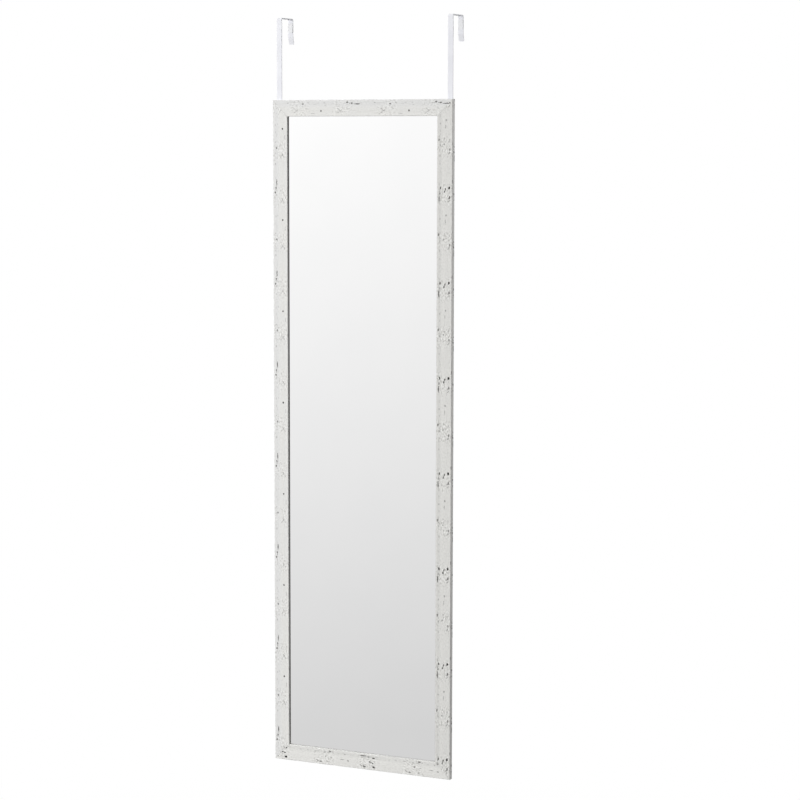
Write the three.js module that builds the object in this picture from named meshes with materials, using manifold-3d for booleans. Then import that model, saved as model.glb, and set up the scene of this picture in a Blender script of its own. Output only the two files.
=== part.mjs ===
// Over the door mirror: a mitred, rebated moulding round a sheet of mirror glass, hung on
// two bent steel straps that hook over the top edge of a door.
//
// Millimetres, +Z up, +X to the right for someone who looks into the glass, front towards -Y.
// The origin lies on the door's top front edge, midway between the two hooks, so the door
// fills y from 0 to its thickness, below z = 0.

import * as THREE from 'three';
import { mergeVertices } from 'three/addons/utils/BufferGeometryUtils.js';
import Module from 'manifold-3d';

const wasm = await Module();
wasm.setup();

// ---------------------------------------------------------------- driving dimensions

// The door and the place of the frame on it.
const doorThickness = 40;
const frameDrop = 144; // from the door's top edge down to the frame's top edge

// The frame and its moulding.
const frameWidth = 350;
const frameHeight = 1200;
const mouldingWidth = 29;
const lipThickness = 4; // from the frame's front face to the glass
const rebateWidth = 6; // how far the lip covers the glass and its clearance
const edgeRadius = 1.2; // both front edges of the moulding
const mitreGap = 0.2; // glue line between two mitred ends

// What lies in the rebate, from front to back.
const glassThickness = 2;
const glassArris = 0.3;
const boardThickness = 2;
const boardCornerRadius = 4;
const rebateClearance = 1; // round the glass and the board
const backRecess = 1.5; // from the back of the board to the back of the frame

// Steel points that hold the board in.
const tabLength = 16;
const tabBite = 8; // the length driven into the moulding
const tabWidth = 6;
const tabThickness = 0.6;
const tabPointLength = 3; // the tapered end, inside the moulding
const tabsPerStile = 6;
const tabsPerRail = 2;

// V-shaped nails across each mitre.
const nailWing = 5;
const nailThickness = 0.6;
const nailHeight = 5;
const nailSink = 0.5; // below the frame's back
const firstNailInset = 6; // from the outer corner's two edges
const nailPitch = 9;
const nailsPerCorner = 2;

const fastenerClearance = 0.1; // round nails, tabs and screws in what they are driven into

// The hooks: one bent strap each.
const strapWidth = 10;
const strapThickness = 1.5;
const strapEdgeRadius = 0.5; // the rolled long edges of the strap
const strapCornerRadius = 3; // the two corners at each end of the strap
const strapInset = 8.6; // from the frame's outer edge to the strap's centre line
const strapLap = 90; // how far the strap runs down behind the frame
const bendRadius = 2; // inside of the two right-angled bends
const rearLegLength = 44; // from the door's top edge down to the end of the rear leg
const leadInLength = 15; // height of the rear leg's flared end
const leadInAngle = THREE.MathUtils.degToRad(16);
const leadInRadius = 10;

// The countersunk screws that hold a strap to the frame's back.
const screwDiameter = 3;
const screwHeadDiameter = 6;
const screwLength = 8; // over all
const screwPointLength = 2;
const screwsPerStrap = 2;
const firstScrewDrop = 25; // from the frame's top edge
const screwPitch = 45;
const recessLength = 3.2; // the cross recess in the head
const recessWidth = 0.7;
const recessDepth = 1;

// The felt pads between strap and door, and the rubber bumpers under the frame's lower corners.
const padThickness = 1;
const padSideInset = 0.5; // the pad is narrower than the strap by this much on each side
const padCornerRadius = 1.5;
const padDrop = 6; // from the door's top edge to the top of a pad
const frontPadLength = 40;
const bumperDiameter = 12;
const bumperEdgeRadius = 0.8;
const bumperInset = 14.5; // from the frame's outer side edge to the bumper's centre
const bumperRise = 45; // from the frame's bottom edge to the bumper's centre

// How finely round shapes are cut into flats.
const arcSegments = 5; // in a quarter turn of a fillet
const bendSegments = 8; // in a quarter turn of a bend
const roundSegments = 24; // in a full turn

// ---------------------------------------------------------------- what follows from them

const mouldingDepth = lipThickness + glassThickness + boardThickness + backRecess;
const backStandOff = padThickness + strapThickness; // door face to the frame's back
const rebateWall = mouldingWidth - rebateWidth; // from the frame's outer edge
const sheetWidth = frameWidth - 2 * (rebateWall + rebateClearance);
const sheetHeight = frameHeight - 2 * (rebateWall + rebateClearance);
const boardBack = lipThickness + glassThickness + boardThickness; // from the front face
const rearPadLength = rearLegLength - leadInLength - 2 * padDrop;
const halfWidth = frameWidth / 2;
const halfHeight = frameHeight / 2;
const screwDrops = Array.from({ length: screwsPerStrap }, (_, i) => firstScrewDrop + i * screwPitch);

// The four sides in turn. Each starts at one corner of the frame, (x, z) from the frame's
// centre, and is turned about Y so that its own +Z runs along it and its own +X inwards.
const sides = [
  {
    name: 'left_stile',
    corner: [-halfWidth, -halfHeight],
    cornerName: 'bottom_left',
    turn: 0,
    length: frameHeight,
    tabs: tabsPerStile,
    screwPlaces: screwDrops.map((drop) => frameHeight - drop),
  },
  {
    name: 'top_rail',
    corner: [-halfWidth, halfHeight],
    cornerName: 'top_left',
    turn: Math.PI / 2,
    length: frameWidth,
    tabs: tabsPerRail,
    screwPlaces: [],
  },
  {
    name: 'right_stile',
    corner: [halfWidth, halfHeight],
    cornerName: 'top_right',
    turn: Math.PI,
    length: frameHeight,
    tabs: tabsPerStile,
    screwPlaces: screwDrops,
  },
  {
    name: 'bottom_rail',
    corner: [halfWidth, -halfHeight],
    cornerName: 'bottom_right',
    turn: -Math.PI / 2,
    length: frameWidth,
    tabs: tabsPerRail,
    screwPlaces: [],
  },
];

// ---------------------------------------------------------------- materials

const material = (color, roughness, metalness) =>
  new THREE.MeshStandardMaterial({ color, roughness, metalness });

const materials = {
  moulding: () => material(0xe2e1dc, 0.6, 0),
  mirror: () => material(0xe6e9ea, 0.04, 1),
  board: () => material(0x9c7a58, 0.85, 0),
  strap: () => material(0xeceef0, 0.4, 0.1),
  zincSteel: () => material(0xb4b8bb, 0.35, 0.9),
  bluedSteel: () => material(0x55585c, 0.45, 0.8),
  felt: () => material(0xe9eaec, 0.95, 0),
  rubber: () => material(0xc9cbcc, 0.7, 0),
};

// ---------------------------------------------------------------- joining and cutting

// The solid of a closed geometry, for a boolean.
function solid(geometry) {
  const bare = geometry.clone();
  bare.deleteAttribute('normal');
  bare.deleteAttribute('uv');
  const merged = mergeVertices(bare, 1e-4);
  const triangles = [];
  for (let i = 0; i < merged.index.count; i += 3) {
    const [a, b, c] = [0, 1, 2].map((k) => merged.index.getX(i + k));
    if (a !== b && b !== c && c !== a) triangles.push(a, b, c);
  }
  return new wasm.Manifold(
    new wasm.Mesh({
      numProp: 3,
      vertProperties: new Float32Array(merged.attributes.position.array),
      triVerts: new Uint32Array(triangles),
    }),
  );
}

// The geometry of a solid, with flat faces.
function geometryOf(body) {
  const { vertProperties, triVerts } = body.getMesh();
  const geometry = new THREE.BufferGeometry();
  geometry.setAttribute('position', new THREE.BufferAttribute(vertProperties, 3));
  geometry.setIndex(new THREE.BufferAttribute(triVerts, 1));
  const flat = geometry.toNonIndexed();
  flat.computeVertexNormals();
  return flat;
}

// A geometry with each of the cutters, geometries too, taken out of it.
function cut(geometry, cutters) {
  return geometryOf(cutters.reduce((body, cutter) => body.subtract(solid(cutter)), solid(geometry)));
}

// ---------------------------------------------------------------- basic forms

function polygon(points) {
  return new THREE.Shape(points.map(([x, y]) => new THREE.Vector2(x, y)));
}

// A rectangle about the origin with round corners.
function roundedRectangle(width, height, radius) {
  const x = width / 2 - radius;
  const y = height / 2 - radius;
  const shape = new THREE.Shape();
  shape.absarc(x, y, radius, 0, Math.PI / 2);
  shape.absarc(-x, y, radius, Math.PI / 2, Math.PI);
  shape.absarc(-x, -y, radius, Math.PI, 1.5 * Math.PI);
  shape.absarc(x, -y, radius, 1.5 * Math.PI, 2 * Math.PI);
  return shape;
}

// A flat piece parallel to the frame: its outline's x and y lie along X and Z, and it is
// `thickness` thick from y = 0 backwards. An arris breaks the edges of both faces.
function plate(outline, thickness, arris = 0) {
  const geometry = new THREE.ExtrudeGeometry(outline, {
    depth: thickness - 2 * arris,
    curveSegments: arcSegments,
    bevelEnabled: arris > 0,
    bevelThickness: arris,
    bevelSize: arris,
    bevelOffset: -arris,
    bevelSegments: 1,
  });
  geometry.rotateX(Math.PI / 2);
  geometry.translate(0, thickness - arris, 0);
  return geometry;
}

function mesh(name, geometry, finish, position = [0, 0, 0]) {
  const piece = new THREE.Mesh(geometry, finish());
  piece.name = name;
  piece.position.set(...position);
  return piece;
}

// ---------------------------------------------------------------- the moulding

// The section: x from the outer edge inwards, y from the front face backwards.
function mouldingSection() {
  const inner = Math.min(edgeRadius, lipThickness / 2);
  const section = new THREE.Shape();
  section.moveTo(0, mouldingDepth);
  section.lineTo(0, edgeRadius);
  section.absarc(edgeRadius, edgeRadius, edgeRadius, Math.PI, 1.5 * Math.PI);
  section.lineTo(mouldingWidth - inner, 0);
  section.absarc(mouldingWidth - inner, inner, inner, 1.5 * Math.PI, 2 * Math.PI);
  section.lineTo(mouldingWidth, lipThickness);
  section.lineTo(rebateWall, lipThickness);
  section.lineTo(rebateWall, mouldingDepth);
  return section;
}

// One side's moulding along +Z, cut to 45 degrees at both ends.
function mitredMoulding(length) {
  const geometry = new THREE.ExtrudeGeometry(mouldingSection(), {
    depth: length,
    curveSegments: arcSegments,
    bevelEnabled: false,
  });
  const endGap = mitreGap / Math.SQRT2;
  const points = geometry.attributes.position;
  for (let i = 0; i < points.count; i += 1) {
    const shift = points.getX(i) + endGap;
    const atStart = points.getZ(i) < length / 2;
    points.setZ(i, atStart ? shift : length - shift);
  }
  return geometry;
}

// A side's places for its tabs, evenly spread along its length.
function tabPlaces(side) {
  return Array.from({ length: side.tabs }, (_, i) => (side.length * (i + 0.5)) / side.tabs);
}

// The V of a nail, its bend at the origin and its two wings along +X and +Z, grown all round.
function nailOutline(grown) {
  const end = nailWing + grown;
  const back = nailThickness + grown;
  return polygon([
    [-grown, -grown],
    [end, -grown],
    [end, back],
    [back, back],
    [back, end],
    [-grown, end],
  ]);
}

function nailSlot() {
  const depth = nailHeight + nailSink + fastenerClearance;
  return plate(nailOutline(fastenerClearance), 2 * depth).translate(0, mouldingDepth - depth, 0);
}

const nailInsets = Array.from({ length: nailsPerCorner }, (_, i) => firstNailInset + i * nailPitch);

// A tab lies flat on the board: its point is in the moulding, its round end over the board.
function tabOutline() {
  const half = tabWidth / 2;
  const tip = -tabBite;
  const end = tabLength - tabBite - half;
  const shape = new THREE.Shape();
  shape.moveTo(tip, 0);
  shape.lineTo(tip + tabPointLength, -half);
  shape.lineTo(end, -half);
  shape.absarc(end, 0, half, -Math.PI / 2, Math.PI / 2);
  shape.lineTo(tip + tabPointLength, half);
  return shape;
}

function tabSlot() {
  const depth = tabBite + fastenerClearance;
  const width = tabWidth + 2 * fastenerClearance;
  const height = tabThickness + 2 * fastenerClearance;
  return new THREE.BoxGeometry(2 * depth, height, width).translate(0, boardBack + tabThickness / 2, 0);
}

// A side's moulding with the slots and holes for all that is driven into it.
function sideGeometry(side) {
  const slots = [];
  for (const inset of nailInsets) {
    slots.push(nailSlot().translate(inset, 0, inset));
    slots.push(nailSlot().rotateY(Math.PI / 2).translate(inset, 0, side.length - inset));
  }
  for (const place of tabPlaces(side)) {
    slots.push(tabSlot().translate(rebateWall, 0, place));
  }
  for (const place of side.screwPlaces) {
    slots.push(screwHole().translate(strapInset, mouldingDepth, place));
  }
  return cut(mitredMoulding(side.length), slots);
}

// ---------------------------------------------------------------- the screws

const headDepth = (screwHeadDiameter - screwDiameter) / 2; // a 90 degree countersink
const shankRadius = screwDiameter / 2;

// A countersunk screw along -Y, the flat of its head at y = 0.
function screw() {
  const outline = [
    [0, -screwLength],
    [shankRadius, screwPointLength - screwLength],
    [shankRadius, -headDepth],
    [screwHeadDiameter / 2, 0],
    [0, 0],
  ].map(([radius, y]) => new THREE.Vector2(radius, y));
  const blade = () => new THREE.BoxGeometry(recessLength, 2 * recessDepth, recessWidth);
  return cut(new THREE.LatheGeometry(outline, roundSegments), [blade(), blade().rotateY(Math.PI / 2)]);
}

// The hole for a screw's shank, from the moulding's back at y = 0 to just past its point.
function screwHole() {
  const radius = shankRadius + fastenerClearance;
  const depth = screwLength - strapThickness + fastenerClearance;
  return new THREE.CylinderGeometry(radius, radius, 2 * depth, roundSegments);
}

// The countersunk hole in a strap, its wide mouth at y = 0.
function countersunkHole() {
  const mouth = screwHeadDiameter / 2 + fastenerClearance;
  const bore = shankRadius + fastenerClearance;
  const outline = [
    [0, -2 * strapThickness],
    [bore, -2 * strapThickness],
    [bore, bore - mouth],
    [mouth, 0],
    [mouth, strapThickness],
    [0, strapThickness],
  ].map(([radius, y]) => new THREE.Vector2(radius, y));
  return new THREE.LatheGeometry(outline, roundSegments);
}

// ---------------------------------------------------------------- the hooks

// The edge-on outline of a strap that is laid out from `start` and folded on its way. The
// walk follows one face, with the thickness on its left; a fold turns left by `turn`.
function foldedStrip(start, heading, steps) {
  const nearFace = [];
  const farFace = [];
  let [x, y] = start;
  let angle = heading;
  const markBothFaces = () => {
    nearFace.push([x, y]);
    farFace.push([x - strapThickness * Math.sin(angle), y + strapThickness * Math.cos(angle)]);
  };
  markBothFaces();
  for (const { run = 0, turn = 0, radius = 0 } of steps) {
    x += run * Math.cos(angle);
    y += run * Math.sin(angle);
    if (run > 0) markBothFaces();
    const nearRadius = turn > 0 ? radius + strapThickness : radius;
    const count = Math.ceil((Math.abs(turn) / (Math.PI / 2)) * bendSegments);
    for (let i = 0; i < count; i += 1) {
      const part = turn / count;
      const chord = 2 * nearRadius * Math.sin(Math.abs(part) / 2);
      x += chord * Math.cos(angle + part / 2);
      y += chord * Math.sin(angle + part / 2);
      angle += part;
      markBothFaces();
    }
  }
  return polygon([...nearFace, ...farFace.reverse()]);
}

// What takes the two corners off a strap's end, `foot` being the height of the end and
// `legY` the place of the leg.
function cornerTrim(foot, legY) {
  const half = strapWidth / 2;
  const radius = Math.min(strapCornerRadius, half);
  const shoulder = foot + radius;
  const outside = half + radius;
  const outline = new THREE.Shape();
  outline.moveTo(-outside, shoulder);
  outline.absarc(radius - half, shoulder, radius, Math.PI, 1.5 * Math.PI);
  outline.absarc(half - radius, shoulder, radius, 1.5 * Math.PI, 2 * Math.PI);
  outline.lineTo(outside, shoulder);
  outline.lineTo(outside, foot - radius);
  outline.lineTo(-outside, foot - radius);
  return plate(outline, doorThickness).translate(0, legY - doorThickness / 2, 0);
}

// A hook about its own centre line: up from behind the frame, over the door's top edge and
// down its back, where the end turns away from the door to lead it on.
function hookGeometry() {
  const frontFoot = -(frameDrop + strapLap);
  const gap = doorThickness + 2 * padThickness;
  const fold = { turn: -Math.PI / 2, radius: bendRadius };
  const flareRise = (leadInRadius + strapThickness) * Math.sin(leadInAngle);
  const strip = foldedStrip([-padThickness, frontFoot], Math.PI / 2, [
    { run: -frontFoot - bendRadius, ...fold },
    { run: gap - 2 * bendRadius, ...fold },
    { run: rearLegLength - bendRadius - leadInLength, turn: leadInAngle, radius: leadInRadius },
    { run: (leadInLength - flareRise) / Math.cos(leadInAngle) },
  ]);
  const rolled = Math.min(strapEdgeRadius, strapThickness / 3);
  const geometry = new THREE.ExtrudeGeometry(strip, {
    depth: strapWidth - 2 * rolled,
    bevelThickness: rolled,
    bevelSize: rolled,
    bevelOffset: -rolled,
    bevelSegments: 3,
  });
  geometry.translate(0, 0, rolled - strapWidth / 2);
  // The outline's x runs along the part's Y, its y along Z, and the strap's width along X.
  const [alongX, alongY, alongZ] = [[1, 0, 0], [0, 1, 0], [0, 0, 1]].map((v) => new THREE.Vector3(...v));
  geometry.applyMatrix4(new THREE.Matrix4().makeBasis(alongY, alongZ, alongX));
  const holes = screwDrops.map((drop) =>
    countersunkHole().translate(0, -padThickness, -(frameDrop + drop)),
  );
  const trims = [
    cornerTrim(frontFoot, -padThickness),
    cornerTrim(-rearLegLength, doorThickness + padThickness),
  ];
  return cut(geometry, [...trims, ...holes]);
}

function feltPad(length) {
  const width = strapWidth - 2 * padSideInset;
  return plate(roundedRectangle(width, length, padCornerRadius), padThickness);
}

// A low rubber dome that fills the gap between frame and door, its base at y = 0.
function bumper() {
  const radius = bumperDiameter / 2;
  const path = new THREE.Path();
  path.moveTo(0, 0);
  path.lineTo(radius, 0);
  path.absarc(radius - bumperEdgeRadius, backStandOff - bumperEdgeRadius, bumperEdgeRadius, 0, Math.PI / 2);
  path.lineTo(0, backStandOff);
  return new THREE.LatheGeometry(path.getPoints(arcSegments), roundSegments);
}

// ---------------------------------------------------------------- assembly

// One side of the frame: its moulding, the nails across the mitre at its start and its tabs.
function sideGroup(side) {
  const group = new THREE.Group();
  group.position.set(side.corner[0], 0, side.corner[1]);
  group.rotation.y = side.turn;
  group.add(mesh(side.name, sideGeometry(side), materials.moulding));
  nailInsets.forEach((inset, i) => {
    const place = [inset, mouldingDepth - nailSink - nailHeight, inset];
    const name = `v_nail_${side.cornerName}_${i + 1}`;
    group.add(mesh(name, plate(nailOutline(0), nailHeight), materials.bluedSteel, place));
  });
  tabPlaces(side).forEach((z, i) => {
    const place = [rebateWall, boardBack, z];
    const name = `${side.name}_tab_${i + 1}`;
    group.add(mesh(name, plate(tabOutline(), tabThickness), materials.bluedSteel, place));
  });
  return group;
}

// The frame with its glass and board, about the middle of its front face.
function mirrorFrame() {
  const group = new THREE.Group();
  for (const side of sides) {
    group.add(sideGroup(side));
  }
  const x = sheetWidth / 2;
  const z = sheetHeight / 2;
  const sheet = polygon([[-x, -z], [x, -z], [x, z], [-x, z]]);
  const glass = plate(sheet, glassThickness, glassArris);
  group.add(mesh('mirror_glass', glass, materials.mirror, [0, lipThickness, 0]));
  const board = plate(roundedRectangle(sheetWidth, sheetHeight, boardCornerRadius), boardThickness);
  group.add(mesh('backing_board', board, materials.board, [0, lipThickness + glassThickness, 0]));
  for (const [hand, way] of [['left', -1], ['right', 1]]) {
    const place = [way * (halfWidth - bumperInset), mouldingDepth, bumperRise - halfHeight];
    group.add(mesh(`${hand}_bumper`, bumper(), materials.rubber, place));
  }
  return group;
}

// A hook with its felt pads and the screws that hold it, about the door's top front edge.
function hookGroup(hand) {
  const group = new THREE.Group();
  group.add(mesh(`${hand}_hook`, hookGeometry(), materials.strap));
  const frontPlace = [0, -padThickness, -(padDrop + frontPadLength / 2)];
  group.add(mesh(`${hand}_front_pad`, feltPad(frontPadLength), materials.felt, frontPlace));
  const rearPlace = [0, doorThickness, -(padDrop + rearPadLength / 2)];
  group.add(mesh(`${hand}_rear_pad`, feltPad(rearPadLength), materials.felt, rearPlace));
  screwDrops.forEach((drop, i) => {
    const place = [0, -padThickness, -(frameDrop + drop)];
    group.add(mesh(`${hand}_hook_screw_${i + 1}`, screw(), materials.zincSteel, place));
  });
  return group;
}

const part = new THREE.Group();

const frame = mirrorFrame();
frame.position.set(0, -(backStandOff + mouldingDepth), -(frameDrop + halfHeight));
part.add(frame);

for (const [hand, way] of [['left', -1], ['right', 1]]) {
  const hook = hookGroup(hand);
  hook.position.x = way * (halfWidth - strapInset);
  part.add(hook);
}

export default part;
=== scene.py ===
from collections import namedtuple
from math import pi, radians

import bpy
from mathutils import Euler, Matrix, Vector


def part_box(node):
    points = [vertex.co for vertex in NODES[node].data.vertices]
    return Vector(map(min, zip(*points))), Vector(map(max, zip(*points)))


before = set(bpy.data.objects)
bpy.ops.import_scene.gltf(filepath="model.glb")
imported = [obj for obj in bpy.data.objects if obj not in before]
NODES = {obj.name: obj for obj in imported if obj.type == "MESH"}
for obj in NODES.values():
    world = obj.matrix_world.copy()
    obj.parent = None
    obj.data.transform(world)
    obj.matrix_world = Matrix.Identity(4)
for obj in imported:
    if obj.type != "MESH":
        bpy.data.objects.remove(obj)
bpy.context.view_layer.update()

# The mirror's own frame: metres, +Z up, glass facing -Y. Its origin is midway between the two
# hooks, level with the undersides of their bridges and with the faces of their front pads. The
# materials measure in millimetres.
MM = 0.001


def union_box(names):
    """Lowest and highest corner of several nodes together."""
    corners = [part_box(name) for name in names]
    low = Vector(min(c[0][i] for c in corners) for i in range(3))
    high = Vector(max(c[1][i] for c in corners) for i in range(3))
    return low, high


SIDES = ("left_stile", "top_rail", "right_stile", "bottom_rail")
FRAME_LOW, FRAME_HIGH = union_box(SIDES)
FRAME_MIDDLE_Z = (FRAME_LOW.z + FRAME_HIGH.z) / 2
MOULDING_WIDTH = (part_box("left_stile")[1].x - FRAME_LOW.x) / MM
MOULDING_DEPTH = (FRAME_HIGH.y - FRAME_LOW.y) / MM
LIP = (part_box("mirror_glass")[0].y - FRAME_LOW.y) / MM
SHEET_CLEARANCE = 1.0  # between the glass and the wall of the rebate
REBATE_WALL = (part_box("mirror_glass")[0].x - FRAME_LOW.x) / MM - SHEET_CLEARANCE
OPENING_HALF_WIDTH = (FRAME_HIGH.x - FRAME_LOW.x) / MM / 2 - MOULDING_WIDTH
OPENING_HALF_HEIGHT = (FRAME_HIGH.z - FRAME_LOW.z) / MM / 2 - MOULDING_WIDTH
FACE_MARGIN = 0.05  # a point this near to a face counts as on it
NOISE_RANGE = (0.3, 0.7)  # nearly all of a noise lies between these


# ---------------------------------------------------------------- node helpers


def add(tree, kind, inputs=None, **settings):
    """A new node with its settings and inputs; an input that is a socket is linked."""
    made = tree.nodes.new(kind)
    for name, value in settings.items():
        setattr(made, name, value)
    for key, value in (inputs or {}).items():
        if isinstance(value, bpy.types.NodeSocket):
            tree.links.new(value, made.inputs[key])
        else:
            made.inputs[key].default_value = value
    return made


def calc(tree, operation, a, b=0.0, c=0.0):
    """The result of a Math node."""
    return add(tree, "ShaderNodeMath", {0: a, 1: b, 2: c}, operation=operation).outputs[0]


def vector_calc(tree, operation, a, b=(0.0, 0.0, 0.0)):
    """The result of a Vector Math node: a number for LENGTH, and otherwise a vector."""
    made = add(tree, "ShaderNodeVectorMath", {0: a, 1: b}, operation=operation)
    return made.outputs["Value" if operation == "LENGTH" else "Vector"]


def joined(tree, x, y, z=0.0):
    """A vector from its three parts."""
    return add(tree, "ShaderNodeCombineXYZ", {"X": x, "Y": y, "Z": z}).outputs[0]


def split(tree, vector):
    """The parts of a vector, by the names X, Y and Z."""
    return add(tree, "ShaderNodeSeparateXYZ", {"Vector": vector}).outputs


def remap(tree, value, low, high, to_low=0.0, to_high=1.0, smooth=True):
    """value taken from low..high to to_low..to_high, clamped."""
    inputs = {"Value": value, "From Min": low, "From Max": high, "To Min": to_low, "To Max": to_high}
    kind = "SMOOTHSTEP" if smooth else "LINEAR"
    return add(tree, "ShaderNodeMapRange", inputs, interpolation_type=kind).outputs["Result"]


def blend_colour(tree, factor, a, b):
    """Colour a where factor is 0 and b where it is 1."""
    made = tree.nodes.new("ShaderNodeMix")
    made.data_type = "RGBA"
    for socket, value in ((made.inputs[0], factor), (made.inputs[6], a), (made.inputs[7], b)):
        if isinstance(value, bpy.types.NodeSocket):
            tree.links.new(value, socket)
        else:
            socket.default_value = value
    return made.outputs[2]


def noise(tree, vector, scale, detail=2.0, roughness=0.5):
    """A noise texture's value."""
    inputs = {"Vector": vector, "Scale": scale, "Detail": detail, "Roughness": roughness}
    return add(tree, "ShaderNodeTexNoise", inputs).outputs["Fac"]


def tones(tree, value, a, b):
    """Two colours mixed by a noise value."""
    return blend_colour(tree, remap(tree, value, *NOISE_RANGE), a, b)


def stretched(tree, vector, factors):
    """A coordinate with each axis multiplied by its factor."""
    return vector_calc(tree, "MULTIPLY", vector, factors)


def place_mm(tree, corner=(0.0, 0.0, 0.0), turn=0.0):
    """The surface point in millimetres, measured from corner in axes turned about Y."""
    point = add(tree, "ShaderNodeTexCoord").outputs["Object"]
    inputs = {"Vector": point, "Location": corner, "Rotation": (0.0, turn, 0.0), "Scale": (MM, MM, MM)}
    return add(tree, "ShaderNodeMapping", inputs, vector_type="TEXTURE").outputs[0]


def grey(level, tint=(1.0, 1.0, 1.0)):
    """A colour of this level, tinted."""
    return (level * tint[0], level * tint[1], level * tint[2], 1.0)


def material(name, metallic=0.0, roughness=0.5, **sockets):
    """A new material: its tree, its Principled node and the material."""
    made = bpy.data.materials.new(name)
    made.use_nodes = True
    tree = made.node_tree
    shader = tree.nodes["Principled BSDF"]
    shader.inputs["Metallic"].default_value = metallic
    shader.inputs["Roughness"].default_value = roughness
    for socket, value in sockets.items():
        shader.inputs[socket.replace("_", " ")].default_value = value
    return made, tree, shader


def paint(tree, shader, colour, roughness=None):
    """Links a colour, and a roughness where one is given, to the shader."""
    tree.links.new(colour, shader.inputs["Base Color"])
    if roughness is not None:
        tree.links.new(roughness, shader.inputs["Roughness"])


def bump(tree, shader, height, millimetres):
    """Feeds a height, worth so many millimetres from 0 to 1, to the shader's normal."""
    made = add(tree, "ShaderNodeBump", {"Height": height, "Distance": millimetres * MM})
    tree.links.new(made.outputs[0], shader.inputs["Normal"])


def wear(node_name, made):
    """Gives a CAD node its material."""
    slots = NODES[node_name].data.materials
    slots.clear()
    slots.append(made)


# ---------------------------------------------------------------- distressed foil

# Each side is measured along its length from one corner and across from its outer edge.
SIDE_PLACES = {
    "left_stile": ((FRAME_LOW.x, FRAME_LOW.y, FRAME_LOW.z), 0.0),
    "top_rail": ((FRAME_LOW.x, FRAME_LOW.y, FRAME_HIGH.z), radians(90)),
    "right_stile": ((FRAME_HIGH.x, FRAME_LOW.y, FRAME_HIGH.z), radians(180)),
    "bottom_rail": ((FRAME_HIGH.x, FRAME_LOW.y, FRAME_LOW.z), radians(-90)),
}

FOIL_COOL = (0.765, 0.765, 0.757, 1.0)
FOIL_WARM = (0.77, 0.765, 0.74, 1.0)
FOIL_GREY = (0.46, 0.455, 0.43, 1.0)
# the pale flecks of the print, and the paler colour painted on the lip's edge for the light it catches
PALE_FLECK_AND_PAINTED_LIP_LIGHT = (0.95, 0.95, 0.93, 1.0)
CHIP = (0.025, 0.023, 0.022, 1.0)
MDF = (0.36, 0.235, 0.135, 1.0)
MDF_DARK = (0.22, 0.135, 0.075, 1.0)

TURNED_IN = 6.0  # how far the foil reaches in over the moulding's back, at the least
TURNED_IN_RAGGED = 1.2  # and how much its cut edge may add to that

# The foil's print repeats along a side. Marks of one repeat, in millimetres and degrees: (along,
# across, half length, half width, turn, darkness). Across counts from the outer edge, and is
# negative where the foil is folded round it.
PRINT_LENGTH = 167.0
BOLD_MARKS = (
    # the cluster with the darkest spot
    (22.0, 5.6, 2.3, 1.7, 5, 1.0),
    (24.4, 7.2, 1.2, 0.8, 40, 0.5),
    (28.8, 5.5, 2.4, 0.6, 0, 0.25),
    (24.3, 12.9, 2.0, 0.9, 12, 0.95),
    (27.3, 14.2, 1.2, 0.7, 45, 0.7),
    (29.4, 14.8, 1.6, 1.1, 0, 1.0),
    (22.4, 22.4, 2.3, 1.2, 0, 1.0),
    (25.6, 24.1, 1.5, 0.6, 25, 0.35),
    (16.5, 24.5, 4.0, 0.4, -3, 0.3),
    (31.6, 22.8, 1.6, 0.8, 0, 0.5),
    (29.2, 24.2, 1.5, 0.7, 0, 0.5),
    (32.4, 24.4, 1.6, 0.7, 0, 0.65),
    (41.5, 24.8, 5.6, 1.0, 0, 0.85),
    (49.5, 24.2, 2.5, 0.4, 4, 0.2),
    (39.0, 5.2, 2.5, 1.1, 0, 0.85),
    (41.0, 7.4, 1.5, 1.0, 30, 0.5),
    (44.6, 5.5, 1.5, 0.7, 0, 0.5),
    (46.4, 7.2, 1.4, 0.7, 45, 0.45),
    (51.5, 9.0, 1.6, 0.5, 0, 0.2),
    # scattered wear
    (63.0, 23.0, 3.2, 1.0, 0, 0.12),
    (70.3, 11.8, 1.8, 1.3, 0, 0.5),
    (81.3, 12.9, 3.2, 0.7, 0, 0.5),
    (84.5, 13.0, 1.8, 0.4, 0, 0.3),
    (76.5, 23.0, 1.7, 1.1, 0, 0.32),
    (52.8, 16.6, 1.2, 0.8, 0, 0.15),
    # the second, paler cluster
    (98.5, 5.6, 1.4, 0.5, 0, 0.15),
    (105.6, 5.4, 2.2, 0.8, 0, 0.38),
    (109.0, 6.6, 1.4, 0.5, 25, 0.2),
    (102.5, 14.6, 1.8, 0.9, 0, 0.3),
    (108.6, 13.2, 1.7, 0.6, 0, 0.25),
    (112.8, 15.6, 1.5, 1.3, 0, 0.55),
    (88.5, 22.9, 2.1, 0.6, 0, 0.25),
    (104.6, 25.4, 2.2, 1.2, 12, 0.75),
    (99.8, 24.6, 2.6, 0.4, 4, 0.35),
    (109.2, 22.9, 2.3, 0.5, 0, 0.3),
    (115.0, 22.9, 2.0, 0.8, 0, 0.5),
    (122.2, 4.9, 2.2, 1.2, 0, 0.7),
    (127.4, 5.6, 2.0, 0.7, 8, 0.55),
    (129.4, 7.2, 1.6, 0.7, 35, 0.45),
    (135.2, 9.2, 1.7, 0.5, 0, 0.15),
    (132.6, 23.4, 2.2, 1.0, 0, 0.22),
    (147.0, 23.4, 1.6, 1.2, 0, 0.18),
    (159.5, 23.0, 2.4, 0.6, 0, 0.15),
    # wear on the folded edge and down the side face
    (11.5, -0.6, 3.2, 1.2, 0, 0.6),
    (33.2, -7.4, 1.8, 2.6, 20, 0.6),
    (43.8, -7.6, 1.2, 2.4, -15, 0.4),
    (117.5, -7.8, 1.4, 2.4, 15, 0.5),
    (122.0, -5.6, 0.9, 3.4, 30, 0.35),
    (126.6, -7.4, 1.5, 3.0, 15, 0.7),
    (137.5, -8.6, 5.2, 1.7, 0, 0.65),
)
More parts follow.
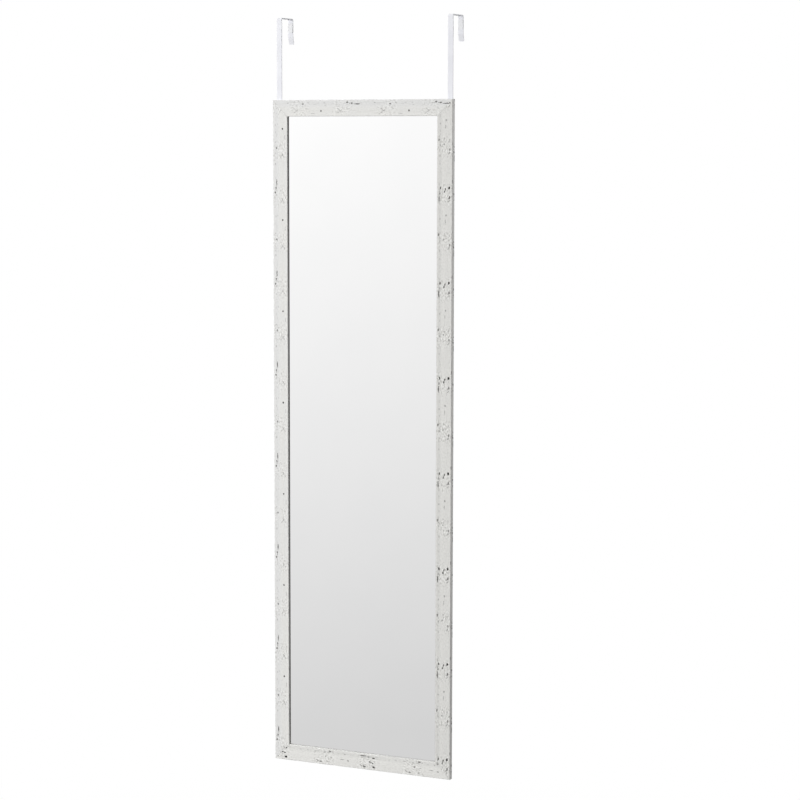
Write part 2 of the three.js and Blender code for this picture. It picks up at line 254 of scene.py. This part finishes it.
FINE_MARKS = (
    (19.7, 19.3, 1.5, 1.3, 0, 1.0),
    (70.0, 4.5, 1.7, 1.4, 0, 0.8),
    (65.2, 6.2, 2.4, 0.6, 0, 0.22),
    (75.0, 6.0, 1.6, 0.6, 0, 0.5),
    (78.7, 6.0, 1.9, 1.1, 0, 0.85),
    (83.6, 7.2, 2.2, 0.4, 5, 0.5),
    (89.0, 7.5, 5.0, 0.8, 0, 0.9),
    (96.5, 5.6, 2.6, 0.4, 0, 0.18),
    (122.4, 5.4, 2.0, 0.7, 0, 0.42),
    (135.0, 5.4, 2.4, 0.4, 0, 0.2),
    (151.4, 7.4, 1.8, 1.1, 0, 0.75),
    (154.8, 4.6, 1.2, 0.5, -30, 0.2),
    (162.0, 5.2, 1.6, 0.8, 30, 0.3),
    (13.4, 5.5, 2.2, 0.5, 0, 0.25),
    (7.5, 7.6, 3.2, 0.4, 0, 0.2),
    (26.4, 5.5, 2.0, 0.6, 0, 0.25),
    (28.0, 9.6, 1.7, 0.6, 0, 0.25),
    (3.8, 24.2, 4.4, 0.5, 0, 0.4),
    (73.6, 15.6, 1.5, 1.1, 0, 0.2),
    (157.4, 15.8, 1.7, 0.9, 0, 0.22),
    (64.0, -6.5, 6.0, 0.7, 0, 0.3),
    (130.0, -4.0, 3.0, 1.0, 10, 0.3),
)
# The pale forked crack of the fine print: short strokes round a middle point.
CRACK_PLACES = ((56.6, 19.0), (139.0, 19.0))
CRACK_STROKES = (
    (0.0, 0.3, 2.0, 1.0, 0, 0.42),
    (2.2, -0.9, 1.6, 0.6, -35, 0.35),
    (-4.2, -3.5, 1.8, 0.6, 25, 0.36),
    (-2.0, -1.8, 1.4, 0.5, 35, 0.25),
    (-3.6, 3.2, 2.0, 0.8, -20, 0.32),
)
FINE_MARKS += tuple(
    (along + stroke[0], across + stroke[1], *stroke[2:])
    for along, across in CRACK_PLACES
    for stroke in CRACK_STROKES
)

MARK_GROWTH = 1.13  # marks are drawn larger than listed, because the ragged edge takes some away
MARK_RIM = (1.1, 0.78)  # a mark fades in between these shares of its half length and half width
WANDER = (3.2, 2.2, 0.0)  # the span by which its edge wanders along and across, in millimetres

# A print's marks, its bands of darker or lighter grain along the side as (across, half width,
# share of light that it takes), where the first of a repeat's two places with the most flecks
# lies, how strong the flecks are, and the colour of the print's outer half.
Print = namedtuple("Print", "marks bands busy_place flecks outer")
FINE = Print(
    marks=FINE_MARKS,
    bands=((6.0, 4.0, 0.045), (20.5, 4.0, 0.015), (25.0, 1.6, -0.02)),
    busy_place=62.0,
    flecks=0.7,
    outer=FOIL_COOL,
)
BOLD = Print(
    marks=BOLD_MARKS,
    bands=((24.0, 3.6, 0.07), (17.5, 3.0, -0.015), (7.5, 3.0, 0.01)),
    busy_place=33.0,
    flecks=1.0,
    outer=FOIL_WARM,
)

# How a side's foil lies: its print, how many times PRINT_LENGTH a repeat is long, where one repeat
# starts, how light this length of foil is, and how far the print is drawn along the side at its
# middle. The start and the drawing are in millimetres.
Foil = namedtuple("Foil", "print stretch start lightness drawn")
FOILS = {
    "left_stile": Foil(FINE, stretch=0.9946, start=131.6, lightness=1.0, drawn=9.15),
    "top_rail": Foil(FINE, stretch=1.024, start=76.1, lightness=0.99, drawn=0.0),
    "right_stile": Foil(BOLD, stretch=1.0062, start=134.6, lightness=0.935, drawn=-9.45),
    "bottom_rail": Foil(BOLD, stretch=1.065, start=126.2, lightness=1.01, drawn=0.0),
}
REPEATS_BEFORE = 4  # counted back from that start, so that no point lies before the first repeat


def place_in_repeat(tree, side, along):
    """How far into a repeat of its print a point of a side lies, in the print's millimetres."""
    foil = FOILS[side]
    length = max(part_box(side)[1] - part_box(side)[0]) / MM
    share = calc(tree, "DIVIDE", along, length)
    arch = calc(tree, "MULTIPLY", share, calc(tree, "SUBTRACT", 1.0, share))  # 1/4 in the middle
    settled = calc(tree, "SUBTRACT", along, calc(tree, "MULTIPLY", arch, 4 * foil.drawn))
    repeat = PRINT_LENGTH * foil.stretch
    counted = calc(tree, "SUBTRACT", settled, foil.start - REPEATS_BEFORE * repeat)
    return calc(tree, "DIVIDE", calc(tree, "MODULO", counted, repeat), foil.stretch)


def ragged_point(tree, flat, in_repeat, unfolded):
    """The print's point, moved a little to and fro, which gives the marks ragged edges."""
    inputs = {"Vector": flat, "Scale": 0.55, "Detail": 3.0}
    wander = add(tree, "ShaderNodeTexNoise", inputs).outputs["Color"]
    centred = vector_calc(tree, "SUBTRACT", wander, (0.5, 0.5, 0.5))
    return vector_calc(tree, "ADD", joined(tree, in_repeat, unfolded), stretched(tree, centred, WANDER))


def printed_marks(tree, point, marks):
    """How dark soft-edged oval marks make a point whose x runs along and y across, in mm. They are
    laid on from the palest to the darkest, so none lightens what it overlaps."""
    dark = 0.0
    for along, across, half_length, half_width, turn, darkness in sorted(marks, key=lambda mark: mark[-1]):
        inputs = {
            "Vector": point,
            "Location": (along, across, 0.0),
            "Rotation": (0.0, 0.0, radians(turn)),
            "Scale": (half_length * MARK_GROWTH, half_width * MARK_GROWTH, 1.0),
        }
        local = add(tree, "ShaderNodeMapping", inputs, vector_type="TEXTURE").outputs[0]
        dark = remap(tree, vector_calc(tree, "LENGTH", local), *MARK_RIM, dark, darkness)
    return dark


def fleck_share(tree, flat, in_repeat, foil_print):
    """How thickly flecks lie at a point: in patches, and most at two places of a repeat."""
    patches = noise(tree, stretched(tree, flat, (0.6, 1.0, 1.0)), scale=0.05)
    two_turns = 4 * pi / PRINT_LENGTH
    angle = calc(tree, "MULTIPLY_ADD", in_repeat, two_turns, -two_turns * foil_print.busy_place)
    busy = remap(tree, calc(tree, "COSINE", angle), -0.4, 0.9, 0.25, 1.0)
    return calc(tree, "MULTIPLY", remap(tree, patches, 0.36, 0.56, 0.5, 1.0), busy)


def banded(tree, ground, across, foil):
    """A colour as light as this length of foil is, and darker in the print's bands of grain."""
    level = foil.lightness
    for middle, half_width, share in foil.print.bands:
        off = calc(tree, "ABSOLUTE", calc(tree, "SUBTRACT", across, middle))
        level = calc(tree, "SUBTRACT", level, remap(tree, off, 0.0, 2 * half_width, share, 0.0))
    return vector_calc(tree, "MULTIPLY", ground, joined(tree, level, level, level))


def foil_ground(tree, flat, across, in_repeat, grain, foil):
    """The whitewash between the marks: clouds, grain, bands, and dark and light flecks."""
    clouds = noise(tree, stretched(tree, flat, (0.4, 1.0, 1.0)), scale=0.055, detail=3.0, roughness=0.55)
    fleck = noise(tree, stretched(tree, flat, (0.6, 1.0, 1.0)), scale=0.4, detail=3.0, roughness=0.6)
    outer = foil.print.outer
    ground = blend_colour(tree, remap(tree, across, 8.0, 18.0), outer, FOIL_WARM)
    ground = blend_colour(tree, remap(tree, clouds, 0.35, 0.65, to_high=0.4), ground, outer)
    streaks = remap(tree, grain, 0.42, 0.75, to_high=0.22, smooth=False)
    ground = blend_colour(tree, streaks, ground, FOIL_GREY)

    share = fleck_share(tree, flat, in_repeat, foil.print)
    dark = calc(tree, "MULTIPLY", remap(tree, fleck, 0.525, 0.635), share)
    light = calc(tree, "MULTIPLY", remap(tree, fleck, 0.465, 0.355), share)
    for flecks, colour in ((dark, FOIL_GREY), (light, PALE_FLECK_AND_PAINTED_LIP_LIGHT)):
        ground = blend_colour(tree, calc(tree, "MULTIPLY", flecks, foil.print.flecks), ground, colour)
    return banded(tree, ground, across, foil)


def bare_places(tree, across, depth, flat):
    """1 where a side has no foil: in the rebate, and on its back past the turned-in edge."""
    ragged = calc(tree, "MULTIPLY", noise(tree, flat, scale=0.35), TURNED_IN_RAGGED)
    on_back = calc(tree, "GREATER_THAN", depth, MOULDING_DEPTH - FACE_MARGIN)
    past_foil = calc(tree, "GREATER_THAN", across, calc(tree, "ADD", TURNED_IN, ragged))
    behind_lip = calc(tree, "GREATER_THAN", depth, LIP - FACE_MARGIN)
    past_wall = calc(tree, "GREATER_THAN", across, REBATE_WALL - FACE_MARGIN)
    back = calc(tree, "MULTIPLY", on_back, past_foil)
    rebate = calc(tree, "MULTIPLY", behind_lip, past_wall)
    return calc(tree, "MAXIMUM", back, rebate)


def foil_material(side):
    """Printed foil over the front and the outer face and just round onto the back, a plain pale colour on
    the lip's edge that is painted light for the light it catches, and bare MDF on the rest."""
    foil = FOILS[side]
    made, tree, shader = material(f"foil_{side}")
    local = place_mm(tree, *SIDE_PLACES[side])
    axes = split(tree, local)
    across, depth, along = axes["X"], axes["Y"], axes["Z"]
    unfolded = calc(tree, "SUBTRACT", across, depth)
    flat = joined(tree, along, unfolded, depth)
    in_repeat = place_in_repeat(tree, side, along)

    grain = noise(tree, stretched(tree, flat, (0.05, 1.0, 1.0)), scale=0.9, detail=4.0, roughness=0.6)
    chips = printed_marks(tree, ragged_point(tree, flat, in_repeat, unfolded), foil.print.marks)
    ground = foil_ground(tree, flat, unfolded, in_repeat, grain, foil)
    printed = blend_colour(tree, chips, ground, CHIP)
    # painted light: the lip's edge is made paler for the light that it catches
    lip_painted_light = calc(tree, "GREATER_THAN", across, MOULDING_WIDTH - FACE_MARGIN)
    foil_with_painted_lip = blend_colour(tree, lip_painted_light, printed, PALE_FLECK_AND_PAINTED_LIP_LIGHT)

    bare = bare_places(tree, across, depth, flat)
    fibre = noise(tree, local, scale=1.6, detail=4.0, roughness=0.7)
    colour = blend_colour(tree, bare, foil_with_painted_lip, tones(tree, fibre, MDF_DARK, MDF))
    worn = calc(tree, "MAXIMUM", chips, bare)
    paint(tree, shader, colour, remap(tree, worn, 0.0, 1.0, 0.5, 0.85, smooth=False))
    bump(tree, shader, grain, 0.04)
    return made


# ---------------------------------------------------------------- the other materials

GLASS_TINTS = ((0.969, 0.969, 0.97, 1.0), (0.979, 0.978, 0.978, 1.0))
HARDBOARD_TINTS = ((0.17, 0.095, 0.048, 1.0), (0.33, 0.205, 0.115, 1.0))
HARDBOARD_DUST = (0.38, 0.25, 0.15, 1.0)
COAT_TINTS = ((0.785, 0.79, 0.83, 1.0), (0.825, 0.83, 0.865, 1.0))
ZINC_TINTS = (grey(0.42), grey(0.6, (0.98, 1.0, 1.02)))
BLUED_TINTS = (grey(0.07), grey(0.16, (0.9, 1.0, 1.15)))
FELT_TINTS = ((0.78, 0.785, 0.8, 1.0), (0.88, 0.885, 0.9, 1.0))
RUBBER_TINTS = ((0.55, 0.56, 0.56, 1.0), (0.63, 0.64, 0.64, 1.0))
WEAVE_SCALE = 0.16  # of the hardboard's pressed weave

# Painted shade on the glass beside the lip, for the lip's shaded inner face, its image and the dark gap
# behind it: its colour, between which distances from the lip it fades out, in millimetres, and how strong
# it is close to the lip.
PAINTED_SHADE_COLOUR = (0.115, 0.103, 0.09, 1.0)
STILE_FADE = (0.4, 2.1)
STILE_STRENGTH = 0.9
RAIL_FADE = (0.6, 1.9)
RAIL_STRENGTHS = (0.6, 0.27)  # near the ends of the rail, where the shade is painted deeper into the corners, and farther in
RAIL_ENDS = (2.0, 10.0)  # how far from a stile's lip it changes from the first to the second


def mirror_material():
    """Silvered glass, with painted shade in a narrow strip beside the stiles and more faintly above the
    bottom rail, for the shaded lip and the dark gap behind it."""
    made, tree, shader = material("silvered_glass", metallic=1.0, roughness=0.015)
    local = place_mm(tree, (0.0, 0.0, FRAME_MIDDLE_Z))
    clear = tones(tree, noise(tree, local, scale=0.008), *GLASS_TINTS)
    axes = split(tree, local)
    to_stile = calc(tree, "SUBTRACT", OPENING_HALF_WIDTH, calc(tree, "ABSOLUTE", axes["X"]))
    to_rail = calc(tree, "ADD", axes["Z"], OPENING_HALF_HEIGHT)
    beside = remap(tree, to_stile, *STILE_FADE, STILE_STRENGTH, 0.0)
    rail_strength = remap(tree, to_stile, *RAIL_ENDS, *RAIL_STRENGTHS)
    above = remap(tree, to_rail, *RAIL_FADE, rail_strength, 0.0)
    # painted shade: the glass is darkened beside the lip, the more so near the corners
    painted_shade = calc(tree, "MAXIMUM", beside, above)
    paint(tree, shader, blend_colour(tree, painted_shade, clear, PAINTED_SHADE_COLOUR))
    return made


def hardboard_material():
    """Brown hardboard, its back pressed with a fine weave."""
    made, tree, shader = material("hardboard", roughness=0.85)
    local = place_mm(tree)
    fibre = noise(tree, stretched(tree, local, (1.0, 1.0, 0.6)), scale=0.9, detail=5.0, roughness=0.7)
    clouds = noise(tree, local, scale=0.02, detail=3.0)
    board = tones(tree, fibre, *HARDBOARD_TINTS)
    dusty = remap(tree, clouds, 0.35, 0.7, to_high=0.35)
    paint(tree, shader, blend_colour(tree, dusty, board, HARDBOARD_DUST))
    relief = calc(tree, "MULTIPLY", fibre, 0.5)
    waves = [
        add(tree, "ShaderNodeTexWave", {"Vector": local, "Scale": WEAVE_SCALE}, bands_direction=way)
        for way in ("X", "Z")
    ]
    weave = calc(tree, "MULTIPLY", waves[0].outputs["Fac"], waves[1].outputs["Fac"])
    bump(tree, shader, calc(tree, "ADD", weave, relief), 0.15)
    return made


def powder_coat_material():
    """White powder coat with a slight orange peel."""
    made, tree, shader = material("white_powder_coat", roughness=0.38)
    local = place_mm(tree)
    peel = noise(tree, local, scale=1.3)
    drift = noise(tree, local, scale=0.03)
    paint(tree, shader, tones(tree, drift, *COAT_TINTS), remap(tree, peel, *NOISE_RANGE, 0.33, 0.45))
    bump(tree, shader, peel, 0.03)
    return made


def steel_material(name, tints, roughness):
    """Drawn steel, its fine lines running along Z."""
    made, tree, shader = material(name, metallic=1.0)
    lines = noise(tree, stretched(tree, place_mm(tree), (1.0, 1.0, 0.15)), scale=2.5, detail=3.0)
    worn = remap(tree, lines, *NOISE_RANGE, roughness - 0.07, roughness + 0.1)
    paint(tree, shader, tones(tree, lines, *tints), worn)
    bump(tree, shader, lines, 0.02)
    return made


def felt_material():
    """White pressed felt."""
    made, tree, shader = material("felt", roughness=0.95, Sheen_Weight=0.25, Sheen_Roughness=0.5)
    fuzz = noise(tree, place_mm(tree), scale=2.2, detail=5.0, roughness=0.75)
    paint(tree, shader, tones(tree, fuzz, *FELT_TINTS))
    bump(tree, shader, fuzz, 0.1)
    return made


def rubber_material():
    """Pale soft rubber."""
    made, tree, shader = material("pale_rubber", roughness=0.6)
    mottle = noise(tree, place_mm(tree), scale=0.9, detail=3.0)
    paint(tree, shader, tones(tree, mottle, *RUBBER_TINTS))
    bump(tree, shader, mottle, 0.05)
    return made


def dress():
    """Gives every node its finish."""
    for side in SIDES:
        wear(side, foil_material(side))
    wear("mirror_glass", mirror_material())
    wear("backing_board", hardboard_material())
    coat = powder_coat_material()
    felt = felt_material()
    rubber = rubber_material()
    zinc = steel_material("zinc_steel", ZINC_TINTS, 0.32)
    blued = steel_material("blued_steel", BLUED_TINTS, 0.4)
    for name in NODES:
        if name.endswith("_hook"):
            wear(name, coat)
        elif "_screw_" in name:
            wear(name, zinc)
        elif name.startswith("v_nail") or "_tab_" in name:
            wear(name, blued)
        elif name.endswith("_pad"):
            wear(name, felt)
        elif name.endswith("_bumper"):
            wear(name, rubber)


# ---------------------------------------------------------------- floor, light and camera

FLOOR_Z = -2.04  # the mirror hangs this far above the floor, measured from its hooks
FLOOR_RADIUS = 30.0
FLOOR_NEAR = 1.0  # up to here from its middle the floor is lit, and can take a shadow
FLOOR_FAR = 2.6  # and from here on it is plain white
FLOOR_COLOUR = grey(0.25)
FLOOR_LIFT = 0.76  # brings the lit floor up to the backdrop's white, for the camera alone

FRONT_GLOW = 0.03  # the world's light on the object from before it
BACK_GLOW = 0.44  # and from the bright backdrop behind it
OVERHEAD_GLOW = 2.5  # what is added overhead on the front's side, falling to none at eye level
OVERHEAD_FALL = 4.0  # the power of the height with which it falls
FRONT_TO_BACK = (-0.2, 0.2)  # the front's light gives way to the back's between these, along Y

# The studio that the glass reflects: (height of the ray's direction, brightness).
STUDIO = (
    (-1.0, 0.44),
    (-0.5, 0.54),
    (-0.246, 0.68),
    (-0.107, 0.861),
    (0.01, 1.0),
    (0.1, 1.0),
    (0.5, 0.7),
    (1.0, 0.5),
)
STUDIO_TURN = (-0.47, -0.40)  # where along X the studio's left part gives way to its right one
STUDIO_PARTS = (1.02, 0.98)  # and how bright these are

# Each softbox: its name, its place, what it faces, the side of its square and its power in watts.
SOFTBOXES = (
    ("key", (-2.6, -4.4, 0.1), (0.0, 0.0, -0.75), 1.8, 229.0),
    ("rim", (1.4, 1.1, 0.3), (0.175, 0.0, -0.3), 0.6, 11.2),
)

CAMERA_PLACE = (1.7956, -3.7262, -0.2257)
CAMERA_PITCH = -6.193  # from level, in degrees, as are the next two
CAMERA_ROLL = -0.115
CAMERA_YAW = 24.852
CAMERA_REACH = 200.0
LENS = 105.12  # in millimetres, as is the sensor
SENSOR_WIDTH = 36.0


def studio_level(tree, axes):
    """How bright the studio is in the direction in which the glass mirrors a ray."""
    level = STUDIO[0][1]
    for (low, from_level), (high, to_level) in zip(STUDIO, STUDIO[1:]):
        step = remap(tree, axes["Z"], low, high, to_high=to_level - from_level, smooth=False)
        level = calc(tree, "ADD", level, step)
    part = remap(tree, axes["X"], *STUDIO_TURN, *STUDIO_PARTS, smooth=False)
    return calc(tree, "MULTIPLY", level, part)


def ambient_level(tree, axes):
    """How much light the world gives the object from a direction."""
    glow = remap(tree, axes["Y"], *FRONT_TO_BACK, FRONT_GLOW, BACK_GLOW)
    height = calc(tree, "POWER", calc(tree, "MAXIMUM", axes["Z"], 0.0), OVERHEAD_FALL)
    added = remap(tree, axes["Y"], *FRONT_TO_BACK, OVERHEAD_GLOW, 0.0)
    return calc(tree, "ADD", calc(tree, "MULTIPLY", height, added), glow)


def build_world():
    """White to the camera, the studio to what mirrors it, and soft light to the rest."""
    world = bpy.data.worlds.new("studio")
    bpy.context.scene.world = world
    world.use_nodes = True
    tree = world.node_tree
    tree.nodes.clear()
    axes = split(tree, add(tree, "ShaderNodeTexCoord").outputs["Generated"])
    rays = add(tree, "ShaderNodeLightPath").outputs
    mirrored = calc(tree, "MAXIMUM", rays["Is Glossy Ray"], rays["Is Transmission Ray"])
    first = calc(tree, "LESS_THAN", rays["Diffuse Depth"], 0.5)  # before any diffuse bounce
    mirrored = calc(tree, "MULTIPLY", mirrored, first)
    ambient = ambient_level(tree, axes)
    studio = studio_level(tree, axes)
    level = add(tree, "ShaderNodeMix", {0: mirrored, 2: ambient, 3: studio}).outputs[0]
    level = add(tree, "ShaderNodeMix", {0: rays["Is Camera Ray"], 2: level, 3: 1.0}).outputs[0]
    shade = add(tree, "ShaderNodeBackground", {"Color": grey(1.0), "Strength": level})
    out = add(tree, "ShaderNodeOutputWorld")
    tree.links.new(shade.outputs[0], out.inputs["Surface"])


def floor_material():
    """A pale floor that turns plain white away from the object, to the camera alone."""
    made = bpy.data.materials.new("floor")
    made.use_nodes = True
    tree = made.node_tree
    tree.nodes.clear()
    point = add(tree, "ShaderNodeTexCoord").outputs["Object"]
    away = remap(tree, vector_calc(tree, "LENGTH", point), FLOOR_NEAR, FLOOR_FAR)
    rays = add(tree, "ShaderNodeLightPath").outputs
    lit = add(tree, "ShaderNodeBsdfDiffuse", {"Color": FLOOR_COLOUR}).outputs[0]
    lift = calc(tree, "MULTIPLY", rays["Is Camera Ray"], FLOOR_LIFT)
    lift = add(tree, "ShaderNodeEmission", {"Color": grey(1.0), "Strength": lift}).outputs[0]
    near = add(tree, "ShaderNodeAddShader", {0: lit, 1: lift}).outputs[0]
    white = add(tree, "ShaderNodeEmission", {"Color": grey(1.0), "Strength": 1.0}).outputs[0]
    plain = calc(tree, "MULTIPLY", away, rays["Is Camera Ray"])
    mixed = add(tree, "ShaderNodeMixShader", {0: plain, 1: near, 2: white}).outputs[0]
    out = add(tree, "ShaderNodeOutputMaterial")
    tree.links.new(mixed, out.inputs["Surface"])
    return made


def build_floor():
    """A round floor, which the glass doesn't mirror."""
    place = (0.0, 0.0, FLOOR_Z)
    bpy.ops.mesh.primitive_circle_add(vertices=96, radius=FLOOR_RADIUS, fill_type="NGON", location=place)
    floor = bpy.context.object
    floor.name = "studio_floor"
    floor.data.materials.append(floor_material())
    floor.visible_glossy = False


def softbox(name, place, target, size, power):
    """A square area lamp turned to its target, unseen in reflections."""
    lamp = bpy.data.lights.new(name, "AREA")
    lamp.shape = "SQUARE"
    lamp.size = size
    lamp.energy = power
    made = bpy.data.objects.new(name, lamp)
    bpy.context.scene.collection.objects.link(made)
    made.location = place
    made.rotation_euler = (Vector(target) - Vector(place)).to_track_quat("-Z", "Y").to_euler()
    made.visible_glossy = False


def build_camera():
    """The photograph's view: from the right and a little above the middle."""
    data = bpy.data.cameras.new("camera")
    data.sensor_width = SENSOR_WIDTH
    data.lens = LENS
    data.clip_end = CAMERA_REACH
    made = bpy.data.objects.new("camera", data)
    bpy.context.scene.collection.objects.link(made)
    made.location = CAMERA_PLACE
    turns = (radians(90 + CAMERA_PITCH), radians(CAMERA_ROLL), radians(CAMERA_YAW))
    made.rotation_euler = Euler(turns, "XYZ")
    bpy.context.scene.camera = made


build_camera()
build_world()
build_floor()
for box in SOFTBOXES:
    softbox(*box)
dress()

bpy.context.scene.view_settings.view_transform = "Standard"
